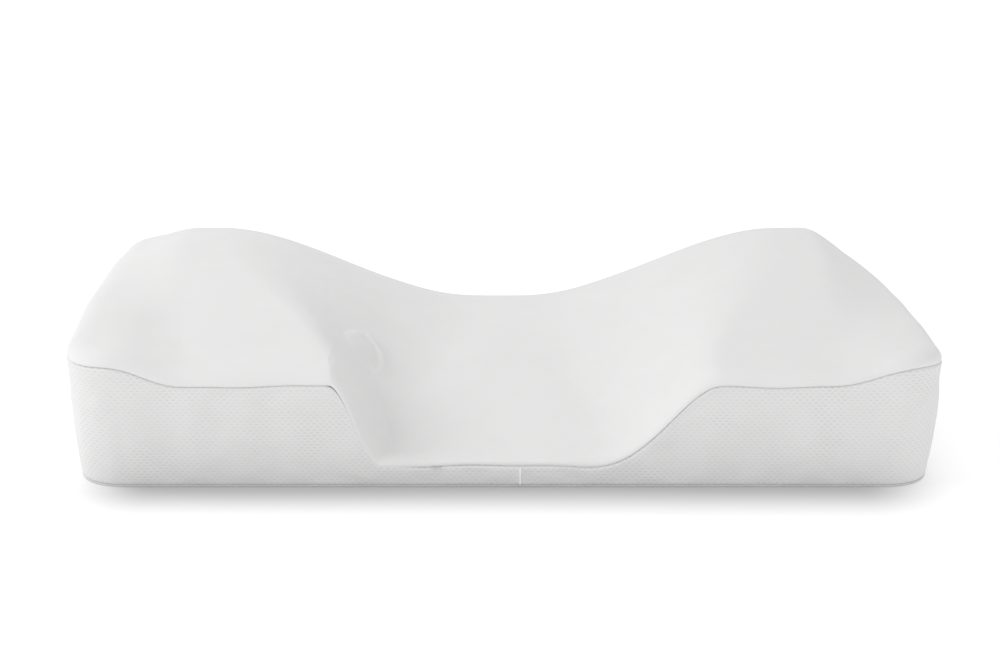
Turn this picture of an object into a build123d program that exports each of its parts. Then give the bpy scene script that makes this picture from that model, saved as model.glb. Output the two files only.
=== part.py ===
"""Contoured cervical pillow: a moulded foam core in a sewn liner and a knitted cover with a zip.

Millimetres. The origin is under the middle of the pillow, on the surface that it lies on.
+X is the right-hand end, +Y the side with the neck roll and the zip, +Z up.
"""

import os
from math import pi, sin, sqrt

from build123d import *

os.makedirs("parts", exist_ok=True)

# ---- Whole pillow ----
LENGTH = 600.0
DEPTH = 350.0
CORNER_R = 32.0  # plan radius of the four corners
TOP_EDGE_R = 2.5  # round-over where the top panel turns down to its seam

# ---- The contoured top ----
# A height line runs from front to back: height at the front, at the crest, at the back, and Y of the crest.
TROUGH_LINE = (22.0, 54.0, 40.0, 85.0)
WING_LINE = (84.0, 117.0, 94.0, 85.0)
LEFT_END_LINE = (96.5, 105.5, 90.0, -61.0)
RIGHT_END_LINE = (96.5, 95.0, 58.5, -116.0)
RISE_POWER = 1.3  # over 1 keeps the front edge level before the rise starts
# A blend starts and ends at two distances from the middle, which shift between the front and the roll.
LEFT_WING_BLEND_FRONT = (80.0, 128.0)
RIGHT_WING_BLEND_FRONT = (70.0, 148.0)
WING_BLEND_ROLL = (18.0, 226.0)
END_BLEND_FRONT = (222.0, 284.0)
END_BLEND_ROLL = (246.0, 310.0)

# ---- Cover ----
COVER_T = 1.5
SEAM_DROP_LIP = 6.0  # how far the top seam lies under the sharp edge at the low front lip
SEAM_DROP_WING = 10.0  # and along the wings
SEAM_DROP_BLEND = (66.0, 146.0)  # distance from the middle over which it changes
SEAM_GAP = 0.15  # between two panels that are sewn together
FRONT_JOIN_X = 11.0  # the gusset's join in the front wall
REAR_JOIN_X = 262.0  # its two joins in the rear wall, left and right of the zip

# ---- Layers inside the cover ----
LINER_T = 1.0
LINER_WALL_INSET = 5.0  # leaves room for the zip's inner side
LINER_TOP_INSET = 2.0
FOAM_WALL_INSET = 6.5
FOAM_TOP_INSET = 3.5
FOAM_EDGE_R = 8.0

# ---- Zip in the rear wall ----
ZIP_Z = 18.0  # height of the chain's middle line
WINDOW_HALF = 5.0  # half height of the slot between the two rear strips
TAPE_HALF_LENGTH = 258.0
TAPE_T = 0.6
TAPE_GAP = 1.6  # between the two tapes, where the slider's neck runs
TAPE_WIDTH = 14.2
TAPE_OUTER_Y = 173.2
COIL_START_X = -244.0
COIL_END_X = 236.0
COIL_PITCH = 2.0
COIL_TOOTH_W = 0.9
COIL_REACH = 0.9  # how far a tooth crosses the chain's middle line
COIL_SPINE_HALF = (2.6, 3.4)  # inner and outer distance of a row's spine from the middle line
COIL_Y = (173.3, 175.0)
BOTTOM_STOP_LENGTH = 4.0
BOTTOM_STOP_GAP = 2.0
TOP_STOP_LENGTH = 3.0
TOP_STOP_GAP = 0.5  # from the closed slider
TOP_STOP_INNER = 1.1  # distance of each top stop from the middle line

# ---- Slider and pull tab ----
SLIDER_X = 241.0  # middle of the slider with the zip closed
SLIDER_LENGTH = 12.0
SLIDER_WIDTH = 9.0
SLIDER_CORNER_R = 2.0
INNER_PLATE_Y = (171.2, 172.2)
OUTER_PLATE_Y = (175.15, 176.0)
FLANGE_T = 0.75
FLANGE_DEPTH_Y = 173.6
NECK_T = 1.2
NECK_X = (2.5, 5.5)  # from the slider's middle, towards the closed end
LUG_HALF_LENGTH = 3.6
LUG_T = 1.6
LUG_TOP_Y = 178.2
LUG_WALL = (1.1, 0.7)  # thickness of its two posts and of its bar
PIVOT_Y = 176.75
PIVOT_R = 0.45
ARM_HALF = (1.3, 2.1)  # inner and outer distance of a tab's arm from the middle line
TAB_T = 0.9
TAB_START = 4.4  # the tab's plate clears the lug from here outwards
TAB_END = 24.0
TAB_HALF_WIDTH = 3.0
TAB_CORNER_R = 1.8
TAB_HOLE_X = 6.0  # from the plate's free end
TAB_HOLE = (6.0, 2.2)
TAB_OVERLAP = 1.0  # of the arms and the plate

# ---- Care label, blank ----
LABEL_X = (-212.0, -178.0)
LABEL_Y = (175.15, 175.55)
LABEL_Z = (40.0, 76.0)

HALF_X = LENGTH / 2
HALF_Y = DEPTH / 2
SAMPLE_STEP = 13.0  # spacing of the points that the contoured faces pass through
OVERSIZE = 12.0  # how far those faces run past the outline
TALL = 150.0  # more than the pillow's height
NODES = {}


def smooth(t):
    """0 to 1 with level ends."""
    t = min(max(t, 0.0), 1.0)
    return t * t * (3 - 2 * t)


def between(a, b, t):
    return a + (b - a) * t


def height_line(y, line):
    """Height at y along one of the lines that run from front to back."""
    front, crest, back, crest_y = line
    if y < crest_y:
        t = max((y + HALF_Y) / (crest_y + HALF_Y), 0.0)
        return between(front, crest, sin(t * pi / 2) ** RISE_POWER)
    fall = (y - crest_y) / (HALF_Y - crest_y)
    return between(crest, back, fall**2)


def blend_share(x, y, front, roll):
    """How far a point has passed a blend, whose limits shift from the front to the neck roll."""
    back = smooth((y + HALF_Y) / (TROUGH_LINE[3] + HALF_Y))
    start = between(front[0], roll[0], back)
    end = between(front[1], roll[1], back)
    return smooth((abs(x) - start) / (end - start))


def top_height(x, y):
    """Height of the contoured top: trough in the middle, then a wing, then the end."""
    trough = height_line(y, TROUGH_LINE)
    wing = height_line(y, WING_LINE)
    end = height_line(y, LEFT_END_LINE if x < 0 else RIGHT_END_LINE)
    front = LEFT_WING_BLEND_FRONT if x < 0 else RIGHT_WING_BLEND_FRONT
    inner = between(trough, wing, blend_share(x, y, front, WING_BLEND_ROLL))
    return between(inner, end, blend_share(x, y, END_BLEND_FRONT, END_BLEND_ROLL))


def slope_stretch(x, y, step=0.5):
    """Vertical distance through a layer, for each millimetre of its thickness."""
    slope_x = (top_height(x + step, y) - top_height(x - step, y)) / (2 * step)
    slope_y = (top_height(x, y + step) - top_height(x, y - step)) / (2 * step)
    return sqrt(1 + slope_x**2 + slope_y**2)


def seam_drop(x):
    start, end = SEAM_DROP_BLEND
    return between(SEAM_DROP_LIP, SEAM_DROP_WING, smooth((abs(x) - start) / (end - start)))


def contour_face(height):
    """A smooth face z = height(x, y), a little larger than the pillow's outline."""
    nx = round((LENGTH + 2 * OVERSIZE) / SAMPLE_STEP)
    ny = round((DEPTH + 2 * OVERSIZE) / SAMPLE_STEP)
    xs = [between(-HALF_X - OVERSIZE, HALF_X + OVERSIZE, i / nx) for i in range(nx + 1)]
    ys = [between(-HALF_Y - OVERSIZE, HALF_Y + OVERSIZE, j / ny) for j in range(ny + 1)]
    points = [[Vector(x, y, height(x, y)) for y in ys] for x in xs]
    return Face.make_surface_from_array_of_points(points, tol=0.1, min_deg=3, max_deg=3)


def layer_face(depth):
    """The contoured top, moved inwards by depth."""
    return contour_face(lambda x, y: top_height(x, y) - depth * slope_stretch(x, y))


def outline(inset, z=0.0):
    return Plane.XY.offset(z) * RectangleRounded(LENGTH - 2 * inset, DEPTH - 2 * inset, CORNER_R - inset)


def below(face):
    """Everything down to well under the floor from a contoured face."""
    return Solid.extrude(face, Vector(0, 0, -2 * TALL))


def block(depth, wall_inset, floor=0.0, edge_r=0.0):
    """A solid with the pillow's shape, moved inwards, with its top edge rounded."""
    solid = extrude(outline(wall_inset, floor), TALL) & below(layer_face(depth))
    if edge_r == 0.0:
        return solid
    top = solid.faces().filter_by(GeomType.BSPLINE)[0]
    return fillet(top.edges(), edge_r)


def span(x, y, z):
    """A box from its limits in X, Y and Z."""
    size = [high - low for low, high in (x, y, z)]
    middle = [(low + high) / 2 for low, high in (x, y, z)]
    return Pos(*middle) * Box(*size)


def add(name, *solids):
    """Keep one named piece; several solids make a group of separate ones."""
    NODES[name] = solids[0] if len(solids) == 1 else Compound(children=list(solids))


def one_solid(shape):
    """The single solid in a result, without the group that an operation may wrap it in."""
    return max(shape.solids(), key=lambda solid: solid.volume)


def make_core():
    """The foam, and the sock that is sewn shut round it."""
    add("foam_core", one_solid(block(FOAM_TOP_INSET, FOAM_WALL_INSET, FOAM_TOP_INSET, FOAM_EDGE_R)))
    base_top = LINER_TOP_INSET + LINER_T
    add("core_liner_base", one_solid(extrude(outline(LINER_WALL_INSET, LINER_TOP_INSET), LINER_T)))
    wall_start = base_top + SEAM_GAP
    sock = block(LINER_TOP_INSET, LINER_WALL_INSET, wall_start)
    hollow = block(base_top, LINER_WALL_INSET + LINER_T, wall_start)
    add("core_liner_top", one_solid(sock - hollow))


def make_cover():
    """Top panel, gusset in two halves, the two rear strips beside the zip, and the bottom panel."""
    wall_start = COVER_T + SEAM_GAP
    skin = block(0, 0, 0, TOP_EDGE_R) - block(COVER_T, COVER_T)
    skin -= span((-LENGTH, LENGTH), (-DEPTH, DEPTH), (-1, wall_start))
    seam = contour_face(lambda x, y: top_height(x, y) - seam_drop(x))
    add("cover_top_panel", one_solid(skin - below(seam)))
    add("cover_bottom_panel", one_solid(extrude(outline(0), COVER_T)))

    wall = skin & below(seam.moved(Location((0, 0, -SEAM_GAP))))
    rear_y = (HALF_Y - CORNER_R, HALF_Y + 1)
    rear = span((-REAR_JOIN_X, REAR_JOIN_X), rear_y, (0, TALL))
    rear_gap = span((-REAR_JOIN_X - SEAM_GAP, REAR_JOIN_X + SEAM_GAP), rear_y, (0, TALL))
    ends = wall - rear_gap
    for side, start, stop in (
        ("left", -LENGTH, FRONT_JOIN_X - SEAM_GAP / 2),
        ("right", FRONT_JOIN_X + SEAM_GAP / 2, LENGTH),
    ):
        half = ends & span((start, stop), (-DEPTH, DEPTH), (0, TALL))
        add(f"cover_gusset_{side}", one_solid(half))
    rear_wall = wall & rear
    for name, z in (
        ("upper", (ZIP_Z + WINDOW_HALF, TALL)),
        ("lower", (0, ZIP_Z - WINDOW_HALF)),
    ):
        strip = rear_wall & span((-HALF_X, HALF_X), rear_y, z)
        add(f"cover_zip_strip_{name}", one_solid(strip))


def coil_row(side):
    """One row of the zip's coil as a comb; side is +1 for the upper row and -1 for the lower."""
    near, far = COIL_SPINE_HALF
    first = COIL_START_X + COIL_PITCH / 2 * (1 if side > 0 else 2)
    corners = [(COIL_START_X, near)]
    x = first
    while x + COIL_TOOTH_W / 2 < COIL_END_X:
        left = x - COIL_TOOTH_W / 2
        right = x + COIL_TOOTH_W / 2
        corners += [(left, near), (left, -COIL_REACH), (right, -COIL_REACH), (right, near)]
        x += COIL_PITCH
    corners += [(COIL_END_X, near), (COIL_END_X, far), (COIL_START_X, far)]
    points = [Vector(x, COIL_Y[0], ZIP_Z + side * z) for x, z in corners]
    comb = Face(Wire.make_polygon(points, close=True))
    return Solid.extrude(comb, Vector(0, COIL_Y[1] - COIL_Y[0], 0))


def make_zip():
    """Tapes, coil rows and end stops."""
    tape_y = (TAPE_OUTER_Y - TAPE_T, TAPE_OUTER_Y)
    length = (-TAPE_HALF_LENGTH, TAPE_HALF_LENGTH)
    far = COIL_SPINE_HALF[1]
    for name, side in (("upper", 1), ("lower", -1)):
        edges = sorted(ZIP_Z + side * d for d in (TAPE_GAP / 2, TAPE_GAP / 2 + TAPE_WIDTH))
        add(f"zip_tape_{name}", span(length, tape_y, edges))
        add(f"zip_coil_{name}", coil_row(side))
    bottom_end = COIL_START_X - BOTTOM_STOP_GAP
    bottom_x = (bottom_end - BOTTOM_STOP_LENGTH, bottom_end)
    add("zip_bottom_stop", span(bottom_x, COIL_Y, (ZIP_Z - far, ZIP_Z + far)))
    top_start = SLIDER_X + SLIDER_LENGTH / 2 + TOP_STOP_GAP
    stops = []
    for side in (1, -1):
        z = sorted(ZIP_Z + side * d for d in (TOP_STOP_INNER, far))
        stops.append(span((top_start, top_start + TOP_STOP_LENGTH), COIL_Y, z))
    add("zip_top_stops", *stops)


def slider_plate(y):
    """One of the slider's two plates, between two values of Y."""
    plane = Plane(origin=(SLIDER_X, y[0], ZIP_Z), x_dir=(1, 0, 0), z_dir=(0, 1, 0))
    return extrude(plane * RectangleRounded(SLIDER_LENGTH, SLIDER_WIDTH, SLIDER_CORNER_R), y[1] - y[0])


def make_slider():
    """Two plates joined by a neck, with side flanges outside and a lug for the pull tab."""
    body = slider_plate(INNER_PLATE_Y) + slider_plate(OUTER_PLATE_Y)
    neck_x = [SLIDER_X + x for x in NECK_X]
    body += span(neck_x, (INNER_PLATE_Y[0], OUTER_PLATE_Y[1]), (ZIP_Z - NECK_T / 2, ZIP_Z + NECK_T / 2))
    flange_half = SLIDER_LENGTH / 2 - SLIDER_CORNER_R
    for side in (1, -1):
        z = sorted(ZIP_Z + side * d for d in (SLIDER_WIDTH / 2 - FLANGE_T, SLIDER_WIDTH / 2))
        body += span((SLIDER_X - flange_half, SLIDER_X + flange_half), (FLANGE_DEPTH_Y, OUTER_PLATE_Y[1]), z)
    lug_z = (ZIP_Z - LUG_T / 2, ZIP_Z + LUG_T / 2)
    lug = span((SLIDER_X - LUG_HALF_LENGTH, SLIDER_X + LUG_HALF_LENGTH), (OUTER_PLATE_Y[0], LUG_TOP_Y), lug_z)
    post, bar = LUG_WALL
    inside = LUG_HALF_LENGTH - post
    lug -= span((SLIDER_X - inside, SLIDER_X + inside), (OUTER_PLATE_Y[1], LUG_TOP_Y - bar), lug_z)
    add("zip_slider_body", one_solid(body + lug))


def make_pull_tab():
    """A flat tab whose two arms hold a round bar under the slider's lug."""
    inner, outer = ARM_HALF
    tab_y = (PIVOT_Y - TAB_T / 2, PIVOT_Y + TAB_T / 2)
    bar = Pos(SLIDER_X, PIVOT_Y, ZIP_Z) * Cylinder(PIVOT_R, 2 * outer)
    middle = SLIDER_X - (TAB_START + TAB_END) / 2
    plane = Plane(origin=(middle, tab_y[0], ZIP_Z), x_dir=(1, 0, 0), z_dir=(0, 1, 0))
    plate = RectangleRounded(TAB_END - TAB_START, 2 * TAB_HALF_WIDTH, TAB_CORNER_R)
    hole = Pos(TAB_HOLE_X - (TAB_END - TAB_START) / 2, 0) * SlotOverall(*TAB_HOLE)
    tab = bar + extrude(plane * (plate - hole), TAB_T)
    for side in (1, -1):
        z = sorted(ZIP_Z + side * d for d in (inner, outer))
        tab += span((SLIDER_X - TAB_START - TAB_OVERLAP, SLIDER_X + PIVOT_R), tab_y, z)
    add("zip_pull_tab", one_solid(tab))


def make_label():
    add("care_label", span(LABEL_X, LABEL_Y, LABEL_Z))


make_core()
make_cover()
make_zip()
make_slider()
make_pull_tab()
make_label()

for node, shape in NODES.items():
    export_step(shape, f"parts/{node}.step")
    print(f"{node}: {len(shape.solids())} solid(s), {shape.volume / 1000:.2f} cm3")
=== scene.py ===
"""Looks for the contoured cervical pillow, in metres, in the CAD frame.

-Y is the side of the low front lip, +Y the side of the zip, and the underside lies on Z = 0.
"""
import math

import bmesh
import bpy
import numpy as np
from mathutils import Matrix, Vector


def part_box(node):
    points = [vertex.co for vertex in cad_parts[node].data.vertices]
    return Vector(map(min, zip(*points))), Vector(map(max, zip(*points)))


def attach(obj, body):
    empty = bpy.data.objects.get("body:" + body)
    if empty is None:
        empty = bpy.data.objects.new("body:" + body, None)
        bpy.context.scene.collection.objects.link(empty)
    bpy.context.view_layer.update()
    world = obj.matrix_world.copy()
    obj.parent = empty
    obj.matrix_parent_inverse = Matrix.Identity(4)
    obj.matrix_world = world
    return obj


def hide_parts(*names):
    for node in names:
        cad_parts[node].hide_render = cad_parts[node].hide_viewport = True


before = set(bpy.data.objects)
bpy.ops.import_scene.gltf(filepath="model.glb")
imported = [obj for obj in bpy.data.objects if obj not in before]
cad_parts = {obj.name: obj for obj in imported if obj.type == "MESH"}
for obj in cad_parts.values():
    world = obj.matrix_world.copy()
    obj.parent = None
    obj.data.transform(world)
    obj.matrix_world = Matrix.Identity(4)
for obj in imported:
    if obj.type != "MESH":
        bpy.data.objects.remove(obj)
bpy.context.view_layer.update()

# ---- Sizes from the frame ----
HALF_X, HALF_Y, PANEL_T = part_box("cover_bottom_panel")[1]
FRONT_JOIN_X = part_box("cover_gusset_left")[1][0]
REAR_JOIN_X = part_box("cover_zip_strip_lower")[1][0]
WINDOW_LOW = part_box("cover_zip_strip_lower")[1][2]
WINDOW_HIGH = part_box("cover_zip_strip_upper")[0][2]
ZIP_Z = (WINDOW_LOW + WINDOW_HIGH) / 2

# ---- The contoured top ----
# A height line runs from front to back: height at the front, at the crest, at the back, and Y of the crest.
TROUGH_LINE = (0.022, 0.054, 0.040, 0.085)
WING_LINE = (0.084, 0.117, 0.094, 0.085)
END_LINES = {-1: (0.0965, 0.1055, 0.090, -0.061), 1: (0.0965, 0.095, 0.0585, -0.116)}
RISE_POWER = 1.3
# Distance from the middle where a blend starts and ends. The left wall of the trough is the steeper one.
WING_BLEND_FRONT = {-1: (0.086, 0.122), 1: (0.052, 0.150)}
WING_BLEND_POWER = {-1: 1.0, 1: 1.7}  # over 1 makes the foot of the front slope longer than its crest
WING_BLEND_ROLL = (0.018, 0.226)
END_BLEND_FRONT = {-1: (0.222, 0.276), 1: (0.226, 0.290)}
END_BLEND_ROLL = (0.246, 0.310)

# ---- The cover's cut and seams ----
CORNER_R = 0.032
EDGE_ROLL = 0.014  # width over which the top panel turns down to its seam
SEAM_DROP_LIP = 0.006  # how far the top seam lies under the contour at the front lip
SEAM_DROP_WING = 0.010  # and along the wings
SEAM_DROP_START, SEAM_DROP_RUN = 0.066, 0.080  # distance from the middle where it changes, and over how much
# Unevenness of the top seam: height, radians per metre along X and along Y, and phase.
SEAM_WAVES = ((0.0006, 47, 61, 0.0), (0.0004, 103, -89, 1.3))
FLUSH_FROM, FLUSH_TO, FLUSH_FADE = -0.124, -0.058, 0.014  # where along X the front seam hardly draws in
FLUSH_SHARE = 0.8
FLARE_END = 0.0065  # how far the ends stand out at the top seam
FLARE_SIDE = 0.0015  # the same for the front and back walls
FLARE_WIDTH = 0.040
FLARE_POWER = 1.3  # over 1 keeps most of the flare near the top seam
WALL_BULGE = 0.0020
FULL_BULGE_HEIGHT = 0.070  # a wall less high than this bulges less
# Unevenness of the walls: depth, radians per metre along the outline, phase, and radians over the height.
WALL_WAVES = ((0.0005, 71, 0.0, 2.1), (0.0003, 173, 2.0, -1.0))
SEAM_DEPTH = 0.0016  # how deep a panel's edge turns in at a seam
CLOTH_T = 0.0011
TOP_RISE = 0.0009  # the top panel's outer face over the contour, clear of the wall's edge at the seam
CELL = 0.0045  # distance between a panel's grid lines
WALL_SLACK = 0.004  # share by which the walls' cloth is cut too large
HELD_ROWS = 4  # rows of vertices held still at a panel's edges while it settles
MOST_INWARDS = 0.0007  # how far a panel may settle towards the liner
MOST_OUTWARDS = 0.0030  # and away from it

# ---- Small marks on the cover ----
PUCKER_AT = (-0.1065, -0.057)
PUCKER_SIZE = (0.0125, 0.0205)
PUCKER_GROOVE, PUCKER_RIDGE, PUCKER_SWELL = 0.0014, 0.0020, 0.0018
# Soft hollows and swellings of the top: rise, place, and reach along X and Y.
SPOTS = (
    (-0.0016, (-0.253, -0.110), (0.022, 0.040)),
    (-0.0078, (-0.0945, -0.099), (0.0125, 0.028)),
    (0.0022, PUCKER_AT, (0.012, 0.022)),
)
CREASE_AT = (0.2655, 0.033)  # place along the front wall and height of a short upright crease in the gusset
CREASE_DEPTH, CREASE_REACH = 0.0011, (0.0024, 0.011)
KNOT_AT = (0.047, 0.0150)  # place along the front wall and height of the thread knot under the seam

# ---- Zip, stitches and label ----
COIL_WIRE = 0.00036  # radius
COIL_PITCH = 0.002
COIL_STEPS = 14  # points on each turn
CAST_BEVEL = 0.00016  # on the slider and its tab
STOP_BEVEL = 0.00035
STITCH_LENGTH, STITCH_GAP, STITCH_RADIUS = 0.0028, 0.0007, 0.00028
STITCH_TO_EDGE = 0.0030  # from a topstitch to the edge of its strip
TACK_RADIUS, TACK_HALF_WIDTH = 0.00022, 0.0011
JOIN_CORD_RADIUS = 0.0006
LABEL_T = 0.00016


# ======== Shape ========

def smooth(t):
    t = np.clip(t, 0.0, 1.0)
    return t * t * (3 - 2 * t)


def mix(a, b, t):
    return a + (b - a) * t


def by_side(x, pair):
    """Picks the left or the right value for each x."""
    return np.where(x < 0, pair[-1], pair[1])


def height_line(y, front, crest, back, crest_y):
    t = np.clip((y + HALF_Y) / (crest_y + HALF_Y), 0.0, 1.0)
    rise = mix(front, crest, np.sin(t * np.pi / 2) ** RISE_POWER)
    fall = np.clip((y - crest_y) / (HALF_Y - crest_y), 0.0, None)
    return np.where(y < crest_y, rise, mix(crest, back, fall**2))


def blend_share(x, y, front, roll, power=None):
    """How far a point has passed a blend, whose limits shift from the front to the neck roll."""
    back = smooth((y + HALF_Y) / (TROUGH_LINE[3] + HALF_Y))
    start = mix(by_side(x, {k: v[0] for k, v in front.items()}), roll[0], back)
    end = mix(by_side(x, {k: v[1] for k, v in front.items()}), roll[1], back)
    share = smooth((np.abs(x) - start) / (end - start))
    return share ** mix(by_side(x, power), 1.0, back) if power else share


def spot(x, y, at, size):
    """A round or oval bump of height 1 at a place, in the plan."""
    return np.exp(-(((x - at[0]) / size[0]) ** 2) - ((y - at[1]) / size[1]) ** 2)


def contour(x, y):
    """Height of the cover's top before its edge turns down."""
    trough = height_line(y, *TROUGH_LINE)
    wing = height_line(y, *WING_LINE)
    end = np.where(x < 0, height_line(y, *END_LINES[-1]), height_line(y, *END_LINES[1]))
    inner = mix(trough, wing, blend_share(x, y, WING_BLEND_FRONT, WING_BLEND_ROLL, WING_BLEND_POWER))
    height = mix(inner, end, blend_share(x, y, END_BLEND_FRONT, END_BLEND_ROLL))
    for rise, at, reach in SPOTS:
        height = height + rise * spot(x, y, at, reach)
    return height


def pucker(x, y):
    """A pinched fold in the knit on the trough's left wall: a crescent groove right of a small swelling."""
    across, along = (x - PUCKER_AT[0]) / PUCKER_SIZE[0], (y - PUCKER_AT[1]) / PUCKER_SIZE[1]
    ring = np.hypot(across, along)
    right = smooth((np.cos(np.arctan2(along, across) - 0.25) - 0.25) / 0.5)
    groove = -PUCKER_GROOVE * np.exp(-(((ring - 1.0) / 0.15) ** 2))
    ridge = PUCKER_RIDGE * np.exp(-(((ring - 1.38) / 0.22) ** 2))
    nip = PUCKER_SWELL * spot(x, y, (PUCKER_AT[0] - 0.001, PUCKER_AT[1] + 0.014), (0.0035, 0.0050))
    return (groove + ridge) * right + PUCKER_SWELL * np.exp(-((ring / 0.75) ** 4)) + nip


def seam_drop(x):
    """How far the top seam lies under the contour."""
    return mix(SEAM_DROP_LIP, SEAM_DROP_WING, smooth((np.abs(x) - SEAM_DROP_START) / SEAM_DROP_RUN))


def seam_height(x, y):
    """Height of the seam between the top panel and the gusset."""
    wave = sum(size * np.sin(x * turn_x + y * turn_y + phase) for size, turn_x, turn_y, phase in SEAM_WAVES)
    return contour(x, y) - seam_drop(x) + wave


def seam_tightness(x, y):
    """1 where the seam is drawn in as usual, less in the steep left-hand bend, where it lies almost flush."""
    flush = smooth((x - FLUSH_FROM) / FLUSH_FADE) * smooth((FLUSH_TO - x) / FLUSH_FADE) * (y < 0)
    return 1 - FLUSH_SHARE * flush


def spread(x, y):
    """How far the cover's top stands out beyond the flat outline, near its edges."""
    out_x = FLARE_END * smooth((np.abs(x) - HALF_X + FLARE_WIDTH) / FLARE_WIDTH)
    out_y = FLARE_SIDE * smooth((np.abs(y) - HALF_Y + FLARE_WIDTH) / FLARE_WIDTH)
    return np.sign(x) * out_x, np.sign(y) * out_y


def edge_distance(x, y):
    """Distance inwards from the rounded outline."""
    px = np.abs(x) - (HALF_X - CORNER_R)
    py = np.abs(y) - (HALF_Y - CORNER_R)
    outside = np.hypot(np.maximum(px, 0), np.maximum(py, 0))
    return CORNER_R - outside - np.minimum(np.maximum(px, py), 0)


# ======== Meshes ========

def make_piece(name, vertices, faces, weave=None):
    """A smooth-shaded mesh object; weave holds each vertex's place on the flat cloth, in metres."""
    mesh = bpy.data.meshes.new(name)
    mesh.from_pydata([tuple(v) for v in vertices], [], faces)
    if weave is not None:
        layer = mesh.attributes.new("weave", "FLOAT_VECTOR", "POINT")
        layer.data.foreach_set("vector", np.asarray(weave, dtype=np.float32).ravel())
    mesh.shade_smooth()
    mesh.update()
    piece = bpy.data.objects.new(name, mesh)
    bpy.context.collection.objects.link(piece)
    return piece


def grid_faces(rows, columns, closed=False, flip=False):
    """Quads over a grid of rows x columns vertices; closed joins the last row to the first."""
    faces = []
    for i in range(rows if closed else rows - 1):
        for j in range(columns - 1):
            a = i * columns + j
            b = (i + 1) % rows * columns + j
            face = (a, b, b + 1, a + 1)
            faces.append(face[::-1] if flip else face)
    return faces


def weld(piece):
    """Joins vertices that lie together, and drops the faces that this closes up."""
    distance = 1e-5
    mesh = bmesh.new()
    mesh.from_mesh(piece.data)
    bmesh.ops.remove_doubles(mesh, verts=mesh.verts, dist=distance)
    bmesh.ops.dissolve_degenerate(mesh, edges=mesh.edges, dist=distance)
    mesh.to_mesh(piece.data)
    mesh.free()


def thicken(piece, thickness, offset):
    """Gives cloth its thickness: an offset of -1 puts it inwards from the mesh, 0 on both sides."""
    solid = piece.modifiers.new("thickness", "SOLIDIFY")
    solid.thickness = thickness
    solid.offset = offset


def refine(piece):
    subdivision = piece.modifiers.new("subdivision", "SUBSURF")
    subdivision.levels = 1
    subdivision.render_levels = 1
    subdivision.boundary_smooth = "PRESERVE_CORNERS"


def edge_lines(half, roll, tucks, dense=None):
    """Grid lines across a panel, and how far each is turned in at the edges.

    They lie evenly inside, three times as close between the two places in dense, and closer where the edge
    turns down; tucks gives the turned-in lines on the edge itself.
    """
    count = max(2, round(2 * (half - roll) / CELL))
    even = np.linspace(-(half - roll), half - roll, count + 1)
    if dense:
        split = [(a, b) for a, b in zip(even, even[1:]) if dense[0] < a < dense[1]]
        between = [mix(a, b, t) for a, b in split for t in (1 / 3, 2 / 3)]
        even = np.sort(np.concatenate([even, between]))
    turn = [half - roll * (1 - math.sin(math.radians(a))) for a in (15, 30, 43, 55, 66, 76, 84, 90)]
    lines = np.concatenate([-np.array(turn[::-1]), even, turn])
    inward = np.zeros(len(lines))
    edge = np.full(len(tucks), half)
    lines = np.concatenate([-edge, lines, edge])
    return lines, np.concatenate([tucks[::-1], inward, tucks])


def rounded_plan(x, y):
    """Moves the points of a rectangular grid so that its corners become round ones."""
    px = np.clip((np.abs(x) - (HALF_X - CORNER_R)) / CORNER_R, 0, 1)
    py = np.clip((np.abs(y) - (HALF_Y - CORNER_R)) / CORNER_R, 0, 1)
    both = (px > 0) & (py > 0)
    new_x = HALF_X - CORNER_R + CORNER_R * px * np.sqrt(1 - py**2 / 2)
    new_y = HALF_Y - CORNER_R + CORNER_R * py * np.sqrt(1 - px**2 / 2)
    return np.where(both, np.sign(x) * new_x, x), np.where(both, np.sign(y) * new_y, y)


def pull_in(x, y, distance):
    """Moves points near the outline inwards along its normal."""
    px = np.maximum(np.abs(x) - (HALF_X - CORNER_R), 0)
    py = np.maximum(np.abs(y) - (HALF_Y - CORNER_R), 0)
    length = np.maximum(np.hypot(px, py), 1e-9)
    return x - np.sign(x) * px / length * distance, y - np.sign(y) * py / length * distance


def panel_grid(roll, tucks, dense=(None, None)):
    """Plan positions of a panel's grid, how far each point is turned in, and its place on the cloth."""
    lines_x, tuck_x = edge_lines(HALF_X, roll, tucks, dense[0])
    lines_y, tuck_y = edge_lines(HALF_Y, roll, tucks, dense[1])
    x, y = np.meshgrid(lines_x, lines_y, indexing="ij")
    tuck = np.maximum(*np.meshgrid(tuck_x, tuck_y, indexing="ij"))
    flat = np.stack([x, y, np.zeros_like(x)], axis=-1)
    x, y = rounded_plan(x, y)
    return x, y, tuck, flat


def make_top_panel():
    """The knitted top: follows the contour, rolls over at its edge and turns in at the seam."""
    at_x, at_y = PUCKER_AT
    round_pucker = ((at_x - 0.018, at_x + 0.024), (at_y - 0.030, at_y + 0.030))
    x, y, tuck, flat = panel_grid(EDGE_ROLL, np.array([0.0, 0.0007, SEAM_DEPTH]), round_pucker)
    near = np.clip(1 - edge_distance(x, y) / EDGE_ROLL, 0, 1)
    drop = contour(x, y) - seam_height(x, y)
    z = contour(x, y) - drop * (1 - np.sqrt(1 - near**2)) + TOP_RISE
    z = z - np.minimum(tuck * 1.2, 0.0012) + pucker(x, y)
    tuck = tuck * seam_tightness(x, y)
    out_x, out_y = spread(x, y)
    x, y = pull_in(x, y, tuck)
    points = np.stack([x + out_x, y + out_y, z], axis=-1).reshape(-1, 3)
    top = make_piece("top_panel", points, grid_faces(*x.shape), flat.reshape(-1, 3))
    weld(top)
    return top


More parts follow.
